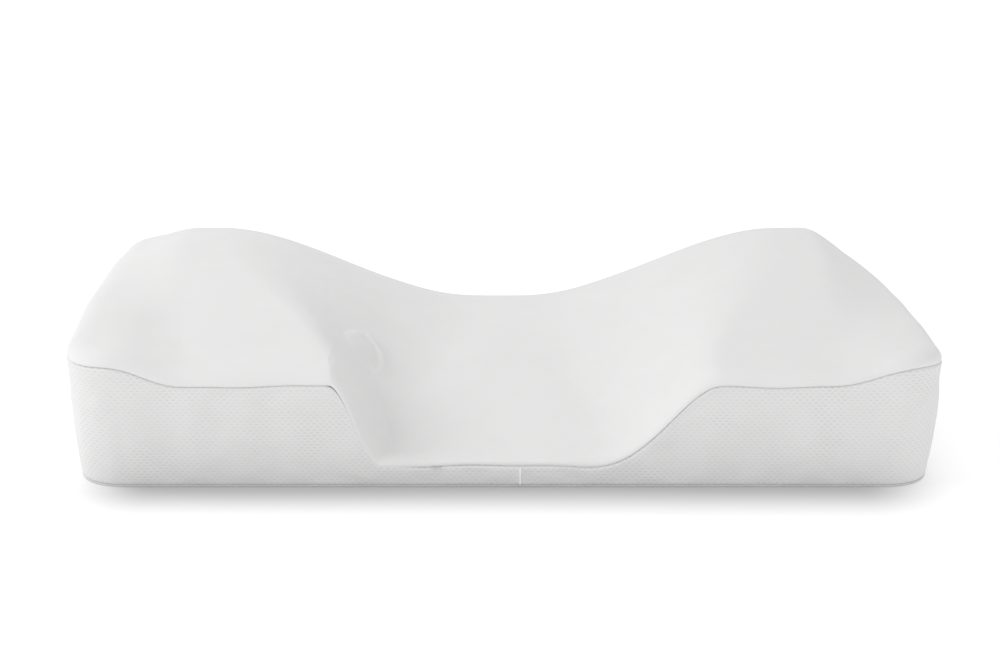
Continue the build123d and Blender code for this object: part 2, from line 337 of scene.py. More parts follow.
def outline_point(s):
    """Point and outward direction on the outline, s metres from the middle of the front towards -X."""
    long, short, turn = HALF_X - CORNER_R, 2 * (HALF_Y - CORNER_R), CORNER_R * math.pi / 2
    stretches = [long, turn, short, turn, 2 * long, turn, short, turn, long]
    s = np.mod(s, sum(stretches))
    px, py, angle = (np.zeros_like(s) for _ in range(3))
    x, y, heading, start = 0.0, -HALF_Y, math.pi, 0.0
    for number, length in enumerate(stretches):
        along = np.clip(s - start, 0, length)
        if number % 2:
            new_x = x + CORNER_R * (math.sin(heading) - np.sin(heading - along / CORNER_R))
            new_y = y + CORNER_R * (np.cos(heading - along / CORNER_R) - math.cos(heading))
            new_angle = heading - along / CORNER_R
            x += CORNER_R * (math.sin(heading) + math.cos(heading))
            y += CORNER_R * (math.sin(heading) - math.cos(heading))
            heading -= math.pi / 2
        else:
            new_x, new_y = x + along * math.cos(heading), y + along * math.sin(heading)
            new_angle = np.full_like(s, heading)
            x += length * math.cos(heading)
            y += length * math.sin(heading)
        here = s >= start
        px, py, angle = np.where(here, new_x, px), np.where(here, new_y, py), np.where(here, new_angle, angle)
        start += length
    return px, py, np.cos(angle + math.pi / 2), np.sin(angle + math.pi / 2)


def outline_length():
    return 4 * (HALF_X - CORNER_R) + 4 * (HALF_Y - CORNER_R) + 2 * math.pi * CORNER_R


def place_on_outline(x, rear):
    """Distance along the outline of a place on its front or rear wall."""
    if not rear:
        return -x
    quarter = HALF_X - CORNER_R + CORNER_R * math.pi + 2 * (HALF_Y - CORNER_R)
    return quarter + HALF_X - CORNER_R + x


def wall_out(s, z, low, high):
    """How far the wall stands out from the flat outline at height z between its two seams."""
    t = np.clip((z - low) / (high - low), 0, 1)
    bulge = WALL_BULGE * np.sin(np.pi * t) * np.clip((high - low) / FULL_BULGE_HEIGHT, 0, 1.2)
    wave = sum(depth * np.sin(s * turn + phase + t * lean) for depth, turn, phase, lean in WALL_WAVES)
    bend = CREASE_AT[0] + 0.0015 * np.cos((z - CREASE_AT[1]) * 140)
    crease = np.exp(-(((s - bend) / CREASE_REACH[0]) ** 2) - (((z - CREASE_AT[1]) / CREASE_REACH[1]) ** 2))
    return bulge + wave * np.sin(np.pi * t) - CREASE_DEPTH * crease


def flatness(y, z):
    """1 where the wall may bulge freely, less near the zip, where a flat wall lets the pull tab pass."""
    near = smooth((y - HALF_Y + 0.012) / 0.011) * np.exp(-(((z - ZIP_Z) / 0.016) ** 2))
    return 1 - 0.85 * near


def wall_point(s, z, tuck):
    """Points on the cover's wall, s along the outline and at height z, moved inwards by tuck."""
    x, y, nx, ny = outline_point(s)
    top = seam_height(x, y)
    t = np.clip(z / top, 0, 1)
    out_x, out_y = (flatness(y, z) * out for out in spread(x, y))
    drawn_in = tuck * np.where(z > top / 2, seam_tightness(x, y), 1.0)
    out = flatness(y, z) * wall_out(s, z, PANEL_T, top) - drawn_in
    flare = t**FLARE_POWER
    return np.stack([x + out_x * flare + nx * out, y + out_y * flare + ny * out, z], axis=-1)


# Profiles of a wall panel's edges: each row's distance from the edge, and how far it is drawn inwards.
SEAM_BELOW = [(0.0, SEAM_DEPTH), (0.0003, 0.0009), (0.0010, -0.0003), (0.0022, -0.0005), (0.0040, -0.0001)]
BASE_SEAM = [(0.0, SEAM_DEPTH), (0.0001, 0.0010), (0.0006, 0.0002), (0.0016, 0.0)]
FOLD = [(0.0006, 0.0020), (0.0, 0.0011), (0.0002, 0.0003), (0.0009, 0.0)]
JOIN = [(0.0, -0.0003), (0.0003, -0.0006), (0.0010, -0.0007), (0.0022, -0.0003)]


def wall_lines(low, high, bottom, top):
    """Heights and turn-ins of a wall panel's rows, from its bottom edge to its top edge, for each column."""
    inner_low, inner_high = low + bottom[-1][0], high - top[-1][0]
    count = max(2, round(float(np.max(inner_high - inner_low)) / CELL))
    rows = [(low + up, tuck) for up, tuck in bottom]
    rows += [(mix(inner_low, inner_high, k / count), 0.0) for k in range(1, count)]
    rows += [(high - down, tuck) for down, tuck in top[::-1]]
    heights = np.stack([np.broadcast_to(z, np.shape(high)) for z, _ in rows], axis=1)
    return heights, np.array([tuck for _, tuck in rows])


def make_wall(name, start, stop, low, high, bottom, top):
    """A panel of the wall between two places on the outline and two edges, given as functions of x and y."""
    ends = [along for along, _ in JOIN]
    count = round((stop - start - 2 * ends[-1]) / CELL)
    inner = np.linspace(start + ends[-1], stop - ends[-1], count + 1)[1:-1]
    columns = np.concatenate([start + np.array(ends), inner, stop - np.array(ends[::-1])])
    tuck_s = np.zeros(len(columns))
    tuck_s[: len(JOIN)] = [tuck for _, tuck in JOIN]
    tuck_s[-len(JOIN):] = [tuck for _, tuck in JOIN[::-1]]
    x, y, _, _ = outline_point(columns)
    z, tuck_z = wall_lines(low(x, y), high(x, y), bottom, top)
    s = np.broadcast_to(columns[:, None], z.shape)
    across = np.broadcast_to(tuck_s[:, None], z.shape)
    up = np.broadcast_to(tuck_z[None, :], z.shape)
    tuck = np.where((across > 0) | (up > 0), np.maximum(across, up), np.minimum(across, up))
    points = wall_point(s, z, tuck)
    flat = np.stack([s, z, np.zeros_like(z)], axis=-1)
    return make_piece(name, points.reshape(-1, 3), grid_faces(*z.shape, flip=True), flat.reshape(-1, 3))


def level(z):
    """An edge at the same height everywhere."""
    return lambda x, y: np.full_like(x, z)


def make_walls():
    """The gusset in two halves, and the two strips beside the zip."""
    base = level(PANEL_T)
    front = place_on_outline(FRONT_JOIN_X, rear=False)
    left = place_on_outline(-REAR_JOIN_X, rear=True)
    right = place_on_outline(REAR_JOIN_X, rear=True)
    panels = {
        "gusset_left": (front, left, base, seam_height, BASE_SEAM, SEAM_BELOW),
        "gusset_right": (right, front + outline_length(), base, seam_height, BASE_SEAM, SEAM_BELOW),
        "zip_strip_lower": (left, right, base, level(WINDOW_LOW), BASE_SEAM, FOLD),
        "zip_strip_upper": (left, right, level(WINDOW_HIGH), seam_height, FOLD, SEAM_BELOW),
    }
    return {f"cover_{name}": make_wall(name, *cut) for name, cut in panels.items()}


def make_bottom_panel():
    """The flat underside, which turns up at its seam."""
    roll = 0.004
    x, y, tuck, flat = panel_grid(roll, np.array([0.0, 0.0008, SEAM_DEPTH]))
    near = np.clip(1 - edge_distance(x, y) / roll, 0, 1)
    z = (PANEL_T - 0.0004) * (1 - np.sqrt(1 - near**2)) + np.minimum(tuck * 0.2, 0.0002)
    x, y = pull_in(x, y, tuck)
    points = np.stack([x, y, z], axis=-1).reshape(-1, 3)
    panel = make_piece("bottom_panel", points, grid_faces(*x.shape, flip=True), flat.reshape(-1, 3))
    weld(panel)
    return panel


def make_core(name, depth, inset, floor, roll):
    """A closed solid inside the cover: depth under its top, inset from its walls, its underside at floor."""
    x, y, _, flat = panel_grid(roll, np.array([]))
    near = np.clip(1 - edge_distance(x, y) / roll, 0, 1)
    rim = seam_drop(x) - 0.001
    step = 0.001
    slope_x = (contour(x + step, y) - contour(x - step, y)) / (2 * step)
    slope_y = (contour(x, y + step) - contour(x, y - step)) / (2 * step)
    top = contour(x, y) - rim * (1 - np.sqrt(1 - near**2)) - depth * np.sqrt(1 + slope_x**2 + slope_y**2)
    shrink_x, shrink_y = (HALF_X - inset) / HALF_X, (HALF_Y - inset) / HALF_Y
    upper = np.stack([x * shrink_x, y * shrink_y, top], axis=-1)
    under_edge = floor + 0.003 * (1 - np.sqrt(1 - near**2))
    lower = np.stack([x * shrink_x, y * shrink_y, under_edge], axis=-1)
    rows, columns = x.shape
    vertices = np.concatenate([upper.reshape(-1, 3), lower.reshape(-1, 3)])
    faces = grid_faces(rows, columns)
    faces += [tuple(rows * columns + v for v in face[::-1]) for face in faces]
    rim_loop = [i * columns for i in range(rows)] + [(rows - 1) * columns + j for j in range(1, columns)]
    rim_loop += [i * columns + columns - 1 for i in range(rows - 2, -1, -1)]
    rim_loop += list(range(columns - 2, 0, -1))
    under = rows * columns
    for a, b in zip(rim_loop, rim_loop[1:] + rim_loop[:1]):
        faces.append((b, a, a + under, b + under))
    weave = np.concatenate([flat.reshape(-1, 3)] * 2)
    return make_piece(name, vertices, faces, weave)


def edge_vertices(mesh):
    """The vertices of a mesh's border and of the next few rows inside it."""
    work = bmesh.new()
    work.from_mesh(mesh)
    held = {v for v in work.verts if v.is_boundary}
    for _ in range(HELD_ROWS - 1):
        held |= {e.other_vert(v) for v in held for e in v.link_edges}
    found = [v.index for v in held]
    work.free()
    return found


def positions(mesh):
    """The places of a mesh's vertices, one row each."""
    values = np.empty(len(mesh.vertices) * 3)
    mesh.vertices.foreach_get("co", values)
    return values.reshape(-1, 3)


def settle(panels, under):
    """Lets the sewn panels come to rest over the liner, held along their seams.

    panels maps each panel to its slackness: above 0 the cloth is cut that much too large.
    """
    frames = 16
    scene = bpy.context.scene
    wall = under.modifiers.new("solid", "COLLISION")
    under.collision.thickness_outer = 0.0006
    under.collision.cloth_friction = 20.0
    before = {}
    for panel, slack in panels.items():
        before[panel] = positions(panel.data)
        panel.vertex_groups.new(name="sewn").add(edge_vertices(panel.data), 1.0, "ADD")
        cloth = panel.modifiers.new("settling", "CLOTH")
        cloth.settings.vertex_group_mass = "sewn"
        cloth.settings.quality = 4
        cloth.settings.mass = 0.0006
        cloth.settings.tension_stiffness = cloth.settings.compression_stiffness = 12.0
        cloth.settings.shear_stiffness = 4.0
        cloth.settings.bending_stiffness = 0.15
        cloth.settings.tension_damping = cloth.settings.compression_damping = 8.0
        cloth.settings.air_damping = 4.0
        cloth.settings.shrink_min = -slack
        cloth.collision_settings.collision_quality = 2
        cloth.collision_settings.distance_min = 0.0006
        cloth.point_cache.frame_start, cloth.point_cache.frame_end = 1, frames
    for step in range(1, frames + 1):
        scene.frame_set(step)
    graph = bpy.context.evaluated_depsgraph_get()
    for panel, old in before.items():
        settled = positions(panel.evaluated_get(graph).data)
        panel.modifiers.remove(panel.modifiers["settling"])
        normals = np.empty(len(old) * 3)
        panel.data.vertices.foreach_get("normal", normals)
        normals = normals.reshape(-1, 3)
        out = np.sum((settled - old) * normals, axis=1)
        kept = np.clip(out, -MOST_INWARDS, MOST_OUTWARDS) * flatness(old[:, 1], old[:, 2])
        panel.data.vertices.foreach_set("co", (old + normals * kept[:, None]).ravel())
        panel.data.update()
    under.modifiers.remove(wall)
    scene.frame_set(1)


def tube(path, radius, sides=6):
    """Vertices and faces of a round tube along a list of points, closed at both ends."""
    path = np.asarray(path, dtype=float)
    ahead = np.gradient(path, axis=0)
    ahead /= np.linalg.norm(ahead, axis=1)[:, None]
    side = np.cross(ahead, np.array([1.0, 0.31, 0.17]))
    side /= np.linalg.norm(side, axis=1)[:, None]
    third = np.cross(ahead, side)
    turn = np.linspace(0, 2 * math.pi, sides, endpoint=False)
    ring = np.cos(turn)[None, :, None] * side[:, None, :] + np.sin(turn)[None, :, None] * third[:, None, :]
    vertices = (path[:, None, :] + radius * ring).reshape(-1, 3)
    faces = []
    for i in range(len(path) - 1):
        for j in range(sides):
            k = (j + 1) % sides
            faces.append((i * sides + j, i * sides + k, (i + 1) * sides + k, (i + 1) * sides + j))
    faces.append(tuple(range(sides - 1, -1, -1)))
    faces.append(tuple((len(path) - 1) * sides + j for j in range(sides)))
    return vertices, faces


def joined(name, parts):
    """One object from several lots of vertices and faces."""
    vertices, faces, start = [], [], 0
    for points, quads in parts:
        vertices.extend(points)
        faces.extend(tuple(v + start for v in face) for face in quads)
        start += len(points)
    return make_piece(name, vertices, faces)


def make_coil(name, node, side):
    """One row of the zip: a nylon filament wound on and on, its turns between those of the other row."""
    low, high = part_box(node)
    turns = round((high[0] - low[0]) / COIL_PITCH) - 1
    phase = np.arange(turns * COIL_STEPS + 1) / COIL_STEPS
    start = low[0] + COIL_PITCH * (0.75 if side > 0 else 1.25)
    half_z = (high[2] - low[2]) / 2 - COIL_WIRE
    half_y = (high[1] - low[1]) / 2 - COIL_WIRE
    angle = 2 * math.pi * phase
    path = np.stack([
        start + COIL_PITCH * (phase - 0.18 * np.sin(angle) * side),
        (low[1] + high[1]) / 2 + half_y * np.sin(angle),
        (low[2] + high[2]) / 2 + half_z * np.cos(angle) * side,
    ], axis=-1)
    return joined(name, [tube(path, COIL_WIRE)])


def stitch(start, end, out):
    """One stitch of thread, its two ends sunk into the cloth; out is the cloth's outward direction."""
    arch = ((0, -1.3), (0.12, 0.5), (0.35, 1.0), (0.65, 1.0), (0.88, 0.5), (1, -1.3))
    return tube([mix(start, end, t) + out * STITCH_RADIUS * rise for t, rise in arch], STITCH_RADIUS)


def seam_row(name, points, out):
    """A row of stitches along a line of points on the cloth."""
    run = np.concatenate([[0], np.cumsum(np.linalg.norm(np.diff(points, axis=0), axis=1))])
    step = STITCH_LENGTH + STITCH_GAP
    starts = np.arange(int(run[-1] // step)) * step
    ends = starts + STITCH_LENGTH
    place = [np.stack([np.interp(s, run, points[:, k]) for k in range(3)], axis=-1) for s in (starts, ends)]
    return joined(name, [stitch(a, b, out) for a, b in zip(*place)])


def copy_of(node, name, bevel):
    """A copy of a CAD node with its sharp edges eased, as casting or pressing leaves them."""
    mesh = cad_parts[node].data.copy()
    mesh.materials.clear()
    piece = bpy.data.objects.new(name, mesh)
    bpy.context.collection.objects.link(piece)
    work = bmesh.new()
    work.from_mesh(mesh)
    bmesh.ops.remove_doubles(work, verts=work.verts, dist=1e-6)
    bmesh.ops.dissolve_limit(work, angle_limit=math.radians(2), verts=work.verts, edges=work.edges)
    work.to_mesh(mesh)
    work.free()
    if "custom_normal" in mesh.attributes:
        mesh.attributes.remove(mesh.attributes["custom_normal"])
    mesh.shade_smooth()
    ease = piece.modifiers.new("eased edges", "BEVEL")
    ease.width = bevel
    ease.segments = 3
    ease.limit_method = "ANGLE"
    ease.angle_limit = math.radians(35)
    ease.harden_normals = True
    return piece


# ======== Materials ========

class Graph:
    """A short way to write a material's nodes."""

    def __init__(self, name):
        self.material = bpy.data.materials.new(name)
        self.material.use_nodes = True
        self.tree = self.material.node_tree
        self.shader = self.tree.nodes["Principled BSDF"]

    def node(self, kind, **settings):
        made = self.tree.nodes.new(kind)
        for key, value in settings.items():
            setattr(made, key, value)
        return made

    def join(self, source, target):
        """Links an output to an input, or sets the input where source is a plain value."""
        if hasattr(source, "is_output"):
            self.tree.links.new(source, target)
        else:
            target.default_value = source

    def place(self):
        """The place on the object, in metres: all of it, and its X, Y and Z."""
        whole = self.node("ShaderNodeTexCoord").outputs["Object"]
        parts = self.node("ShaderNodeSeparateXYZ")
        self.join(whole, parts.inputs[0])
        return whole, *parts.outputs

    def math(self, operation, *values):
        made = self.node("ShaderNodeMath", operation=operation)
        for socket, value in zip(made.inputs, values):
            self.join(value, socket)
        return made.outputs[0]

    def weave(self, pitch_u, pitch_v):
        """The place on the cloth, counted in pattern repeats."""
        cloth = self.node("ShaderNodeAttribute", attribute_name="weave")
        parts = self.node("ShaderNodeSeparateXYZ")
        self.join(cloth.outputs["Vector"], parts.inputs[0])
        return self.math("DIVIDE", parts.outputs[0], pitch_u), self.math("DIVIDE", parts.outputs[1], pitch_v)

    def noise(self, scale, detail):
        made = self.node("ShaderNodeTexNoise")
        self.join(self.place()[0], made.inputs["Vector"])
        made.inputs["Scale"].default_value = scale
        made.inputs["Detail"].default_value = detail
        return made.outputs["Fac"]

    def ramp(self, value, low, high, start=0.0, end=1.0):
        """Takes low to high over to start to end, with soft shoulders."""
        made = self.node("ShaderNodeMapRange", interpolation_type="SMOOTHSTEP")
        for socket, number in zip(made.inputs, (value, low, high, start, end)):
            self.join(number, socket)
        return made.outputs["Result"]

    def blend(self, factor, a, b):
        """A mix of two colours."""
        made = self.node("ShaderNodeMix", data_type="RGBA")
        self.join(factor, made.inputs[0])
        self.join(a, made.inputs[6])
        self.join(b, made.inputs[7])
        return made.outputs[2]

    def bump(self, height, distance, strength):
        made = self.node("ShaderNodeBump")
        made.inputs["Strength"].default_value = strength
        made.inputs["Distance"].default_value = distance
        self.join(height, made.inputs["Height"])
        self.join(made.outputs["Normal"], self.shader.inputs["Normal"])

    def set(self, **sockets):
        """Sets or links the shader's inputs, with _ for the spaces in their names."""
        for key, value in sockets.items():
            self.join(value, self.shader.inputs[key.replace("_", " ")])


def grey(value, warmth=0.0):
    """A grey, with warmth as the share of blue that it lacks."""
    return (value, value * (1 - warmth * 0.5), value * (1 - warmth), 1.0)


def top_knit():
    """Fine smooth jersey: columns of V-shaped loops, with the faint unevenness of brushed yarn."""
    g = Graph("top_knit")
    u, v = g.weave(0.0013, 0.0010)
    across = g.math("ABSOLUTE", g.math("SUBTRACT", g.math("FRACT", u), 0.5))
    slanted = g.math("ADD", v, g.math("MULTIPLY", across, 1.1))
    loops = g.math("MULTIPLY_ADD", g.math("COSINE", g.math("MULTIPLY", slanted, 2 * math.pi)), 0.3, 0.5)
    columns = g.math("COSINE", g.math("MULTIPLY", g.math("SUBTRACT", across, 0.25), 2 * math.pi))
    height = g.math("MULTIPLY_ADD", columns, 0.5, loops)
    height = g.math("MULTIPLY_ADD", g.noise(900.0, 2.0), 0.5, height)
    tone = g.ramp(g.noise(28.0, 4.0), 0.3, 0.7)
    # Lighter on the loops and darker between them, by the knit's height: painted shade in the knit's hollows.
    # The tone varies at random.
    yarn = g.ramp(height, 0.2, 1.5)
    between = g.blend(tone, grey(0.745, 0.006), grey(0.757, 0.006))
    loop = g.blend(tone, grey(0.775, 0.004), grey(0.788, 0.004))
    g.set(Base_Color=g.blend(yarn, between, loop))
    g.set(Roughness=0.92, Sheen_Weight=0.18, Sheen_Roughness=0.45, Specular_IOR_Level=0.25)
    g.bump(height, 0.00010, 0.6)
    return g.material


def gusset_mesh():
    """Warp-knit air mesh: staggered rows of short oval pores between soft ribs."""
    g = Graph("gusset_mesh")
    u, v = g.weave(0.0044, 0.0022)
    row = g.math("FLOOR", v)
    shift = g.math("MULTIPLY", g.math("MODULO", g.math("ABSOLUTE", row), 2.0), 0.5)
    across = g.math("DIVIDE", g.math("SUBTRACT", g.math("FRACT", g.math("ADD", u, shift)), 0.5), 0.34)
    up = g.math("DIVIDE", g.math("SUBTRACT", g.math("FRACT", v), 0.5), 0.27)
    reach = g.math("SQRT", g.math("ADD", g.math("MULTIPLY", across, across), g.math("MULTIPLY", up, up)))
    cloth = g.ramp(reach, 0.62, 1.12)
    # How open the pores look, varying at random; it sets both their depth and their painted shade.
    pore_strength = g.ramp(g.noise(34.0, 3.0), 0.42, 0.66, 0.34, 0.66)
    pores = g.math("MULTIPLY", g.math("SUBTRACT", 1.0, cloth), pore_strength)
    threads = g.math("SINE", g.math("MULTIPLY", u, 2 * math.pi * 7))
    height = g.math("MULTIPLY_ADD", threads, 0.06, g.math("MULTIPLY_ADD", pores, -1.0, 1.0))
    tone = g.ramp(g.noise(22.0, 4.0), 0.3, 0.7)
    base = g.blend(tone, grey(0.728, 0.004), grey(0.748, 0.004))
    # The pores' grey is painted shade inside the holes; round them is the mesh's own random tone.
    g.set(Base_Color=g.blend(pores, base, grey(0.61, 0.006)))
    g.set(Roughness=0.88, Sheen_Weight=0.12, Sheen_Roughness=0.5, Specular_IOR_Level=0.25)
    g.bump(height, 0.00012, 0.6)
    return g.material


def plain_weave(name, pitch, low, high):
    """Threads over and under each other; low and high are its darkest and lightest colours."""
    g = Graph(name)
    u, v = g.weave(pitch, pitch)
    wave_u = g.math("SINE", g.math("MULTIPLY", u, math.pi))
    wave_v = g.math("SINE", g.math("MULTIPLY", v, math.pi))
    height = g.math("MULTIPLY_ADD", g.math("MULTIPLY", wave_u, wave_v), 0.5, 0.5)
    tone = g.ramp(g.noise(30.0, 4.0), 0.3, 0.7)
    # Lighter on the raised threads and darker between them, by the weave's height: painted shade in its
    # hollows, mixed with random tone.
    g.set(Base_Color=g.blend(g.math("MULTIPLY_ADD", tone, 0.4, g.math("MULTIPLY", height, 0.6)), low, high))
    g.set(Roughness=0.85, Sheen_Weight=0.1, Sheen_Roughness=0.5, Specular_IOR_Level=0.3)
    g.bump(height, pitch * 0.12, 0.7)
    return g.material


def tape_weave():
    """Herringbone zip tape; the ribs slant one way, then the other."""
    g = Graph("tape_weave")
    _, x, _, z = g.place()
    along = g.math("DIVIDE", x, 0.0009)
    up = g.math("DIVIDE", z, 0.0036)
    zigzag = g.math("ABSOLUTE", g.math("SUBTRACT", g.math("FRACT", up), 0.5))
    rib = g.math("SINE", g.math("MULTIPLY", g.math("MULTIPLY_ADD", zigzag, 4.0, along), 2 * math.pi))
    height = g.math("MULTIPLY_ADD", rib, 0.5, 0.5)
    # Lighter on the ribs and darker in the grooves: painted shade.
    g.set(Base_Color=g.blend(height, grey(0.66), grey(0.78)))
    g.set(Roughness=0.8, Sheen_Weight=0.1, Specular_IOR_Level=0.3)
    g.bump(height, 0.00010, 0.7)
    return g.material


def memory_foam():
    """Open-cell foam with its moulded skin: pale cream, with fine pores and a few larger ones."""
    g = Graph("memory_foam")
    cells = g.node("ShaderNodeTexVoronoi")
    g.join(g.place()[0], cells.inputs["Vector"])
    cells.inputs["Scale"].default_value = 620.0
    pores = g.ramp(cells.outputs["Distance"], 0.10, 0.38)
    cloud = g.ramp(g.noise(18.0, 5.0), 0.3, 0.7)
    base = g.blend(cloud, (0.80, 0.71, 0.47, 1), (0.86, 0.79, 0.57, 1))
    # Darker in the pores: painted shade in the open cells. The cloud is the foam's own random tone.
    g.set(Base_Color=g.blend(pores, (0.66, 0.57, 0.34, 1), base))
    g.set(Roughness=0.95, Specular_IOR_Level=0.2)
    g.bump(g.math("MULTIPLY_ADD", g.noise(240.0, 3.0), 0.5, pores), 0.0004, 0.7)
    return g.material


def grained(name, low, high, roughness, metallic=0.0, coat=0.0, scale=300.0):
    """A moulded, cast or spun material with a slightly uneven surface."""
    g = Graph(name)
    grain = g.noise(scale, 4.0)
    g.set(Base_Color=g.blend(grain, low, high))
    g.set(Roughness=g.ramp(grain, 0.3, 0.7, roughness * 0.85, roughness * 1.15))
    g.set(Metallic=metallic, Coat_Weight=coat)
    g.bump(grain, 0.00002, 0.5)
    return g.material


def thread():
    """Twisted sewing thread."""
    g = Graph("sewing_thread")
    _, x, y, z = g.place()
    lean = g.math("ADD", x, g.math("ADD", y, z))
    twist = g.math("SINE", g.math("MULTIPLY", lean, 2 * math.pi / 0.0005))
    # Darker in the grooves of the twist: painted shade.
    g.set(Base_Color=g.blend(g.math("MULTIPLY_ADD", twist, 0.5, 0.5), grey(0.68), grey(0.82)))
    g.set(Roughness=0.7, Sheen_Weight=0.2, Specular_IOR_Level=0.3)
    g.bump(twist, 0.00004, 0.5)
    return g.material


def satin():
    """Label satin: fine ribs under long shiny floats."""
    g = Graph("label_satin")
    u, v = g.weave(0.0004, 0.0012)
    ribs = g.math("SINE", g.math("MULTIPLY", u, 2 * math.pi))
    floats = g.math("SINE", g.math("MULTIPLY", g.math("MULTIPLY_ADD", u, 0.25, v), 2 * math.pi))
    height = g.math("MULTIPLY_ADD", ribs, 0.3, g.math("MULTIPLY", floats, 0.2))
    # Lighter on the raised ribs and floats, darker in the hollows between them: painted shade.
    g.set(Base_Color=g.blend(g.ramp(height, -0.5, 0.5), grey(0.80), grey(0.90)))
    g.set(Roughness=0.38, Sheen_Weight=0.2, Specular_IOR_Level=0.5)
    g.bump(height, 0.00003, 0.6)
    return g.material


# ======== The object ========

def show(piece, nodes, material, body="root"):
    """Finishes a piece: its material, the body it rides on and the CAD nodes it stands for."""
    piece.data.materials.clear()
    piece.data.materials.append(material)
    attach(piece, body)
    if nodes:
        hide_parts(*nodes)


def make_cover(knit, mesh, liner):
    """All panels of the cover, settled over the liner."""
    top = make_top_panel()
    walls = make_walls()
    bottom = make_bottom_panel()
    slack = {walls[node]: WALL_SLACK for node in walls if node != "cover_zip_strip_lower"}
    settle({top: 0.0, **slack}, liner)
    for piece in (top, bottom, *walls.values()):
        refine(piece)
        thicken(piece, CLOTH_T, -1.0)
    show(top, ["cover_top_panel"], knit)
    for node, wall in walls.items():
        show(wall, [node], mesh)
    base_weave = plain_weave("base_weave", 0.0008, grey(0.70), grey(0.78))
    show(bottom, ["cover_bottom_panel"], base_weave)


def make_inside():
    """The foam and its sewn-shut liner."""
    foam = make_core("foam_block", depth=0.0040, inset=0.0070, floor=0.0036, roll=0.020)
    show(foam, ["foam_core"], memory_foam())
    low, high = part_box("core_liner_top")
    liner = make_core("liner_sock", depth=0.0026, inset=HALF_X - high[0], floor=low[2] - 0.001, roll=0.017)
    tricot = plain_weave("liner_tricot", 0.0006, grey(0.72), grey(0.82))
    show(liner, ["core_liner_top", "core_liner_base"], tricot)
    return liner


def make_zip():
    """Coils, stops, slider and pull tab; the tapes keep their CAD shape."""
    nylon = grained("zip_nylon", grey(0.74), grey(0.82), 0.36)
    for name, side in (("upper", 1), ("lower", -1)):
        node = f"zip_coil_{name}"
        show(make_coil(f"coil_{name}", node, side), [node], nylon)
    weave = tape_weave()
    for name in ("upper", "lower"):
        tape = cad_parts[f"zip_tape_{name}"]
        tape.data.materials[0] = weave
    metal = grained("stop_aluminium", grey(0.60), grey(0.72), 0.34, metallic=1.0)
    for name in ("bottom_stop", "top_stops"):
        node = f"zip_{name}"
        show(copy_of(node, name, STOP_BEVEL), [node], metal)
    enamel = grained("slider_enamel", grey(0.72), grey(0.80), 0.27, coat=0.4)
    for name, body in (("slider_body", "slider"), ("pull_tab", "pull_tab")):
        node = f"zip_{name}"
        show(copy_of(node, name, CAST_BEVEL), [node], enamel, body)


def bar_tack(x, low, high, y):
    """Close zigzag stitches across a line at x, from low to high."""
    radius = TACK_RADIUS
    count = int((high - low) / (radius * 2.2))
    path = []
    for k in range(count):
        z = mix(low, high, k / (count - 1))
        side = TACK_HALF_WIDTH if k % 2 else -TACK_HALF_WIDTH
        path.append((x + side, y - 0.0003, z - radius))
        path.append((x + side * 0.9, y + radius, z))
        path.append((x, y + radius * 1.7, z + radius))
    return tube(path, radius)


def end_tab(side, low, high, y):
    """Vertices and faces of the folded scrap of tape that covers one end of the zip, with soft edges."""
    near, far = REAR_JOIN_X - 0.0078, REAR_JOIN_X + 0.0004
    steps = np.array([0.0, 0.08, 0.3, 0.5, 0.7, 0.92, 1.0])
    rise = np.array([-0.0006, 0.0002, 0.0004, 0.00045, 0.0004, 0.0002, -0.0006])
    points = [(side * mix(near, far, u), y + min(a, b), mix(low, high, v))
              for u, a in zip(steps, rise) for v, b in zip(steps, rise)]
    return np.array(points), grid_faces(len(steps), len(steps), flip=side > 0)


def make_stitching(cotton):
    """Topstitching above and below the zip, and a tab with a bar tack at each of its ends."""
    reach = REAR_JOIN_X - 0.004
    s = place_on_outline(np.linspace(-reach, reach, 120), rear=True)
    back = np.array([0.0, 1.0, 0.0])
    for name, z in (("upper", WINDOW_HIGH + STITCH_TO_EDGE), ("lower", WINDOW_LOW - STITCH_TO_EDGE)):
        row = seam_row(f"topstitch_{name}", wall_point(s, np.full_like(s, z), 0.0), back)
        show(row, None, cotton)
    tape_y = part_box("zip_tape_upper")[1][1]
    sides = (-1, 1)
    tabs = [end_tab(side, WINDOW_LOW - 0.0012, WINDOW_HIGH + 0.0012, tape_y + 0.0007) for side in sides]
    show(joined("zip_end_tabs", tabs), None, tape_weave())
    low, high, tack_x = WINDOW_LOW - 0.0010, WINDOW_HIGH + 0.0010, REAR_JOIN_X - 0.0050
    tacks = [bar_tack(side * tack_x, low, high, tape_y + 0.0013) for side in sides]
    show(joined("bar_tacks", tacks), None, cotton)


def make_front_details(cotton):
    """The thread knot under the front seam, and the light cord that covers the join in the lip."""
    turn = np.linspace(0, 2 * math.pi * 3.5, 60)
    wall = wall_point(np.array([KNOT_AT[0]]), np.array([KNOT_AT[1]]), 0.0)[0]
    curl = [0.0030 * np.cos(turn * 0.143), -0.0002 - 0.0005 * np.sin(turn) ** 2, 0.0009 * np.sin(turn)]
    knot = tube(wall + np.stack(curl, axis=-1), 0.00035)
    show(joined("seam_knot", [knot]), None, cotton)
    top = float(seam_height(FRONT_JOIN_X, -HALF_Y)) - 0.0010
    heights = np.linspace(PANEL_T + 0.0008, top, 24)
    join = np.full_like(heights, place_on_outline(FRONT_JOIN_X + 0.0001, rear=False))
    cord = tube(wall_point(join, heights, -0.0007), JOIN_CORD_RADIUS, sides=10)
    yarn = grained("join_yarn", grey(0.92), grey(0.97), 0.6, scale=900.0)
    show(joined("front_join_cord", [cord]), None, yarn)


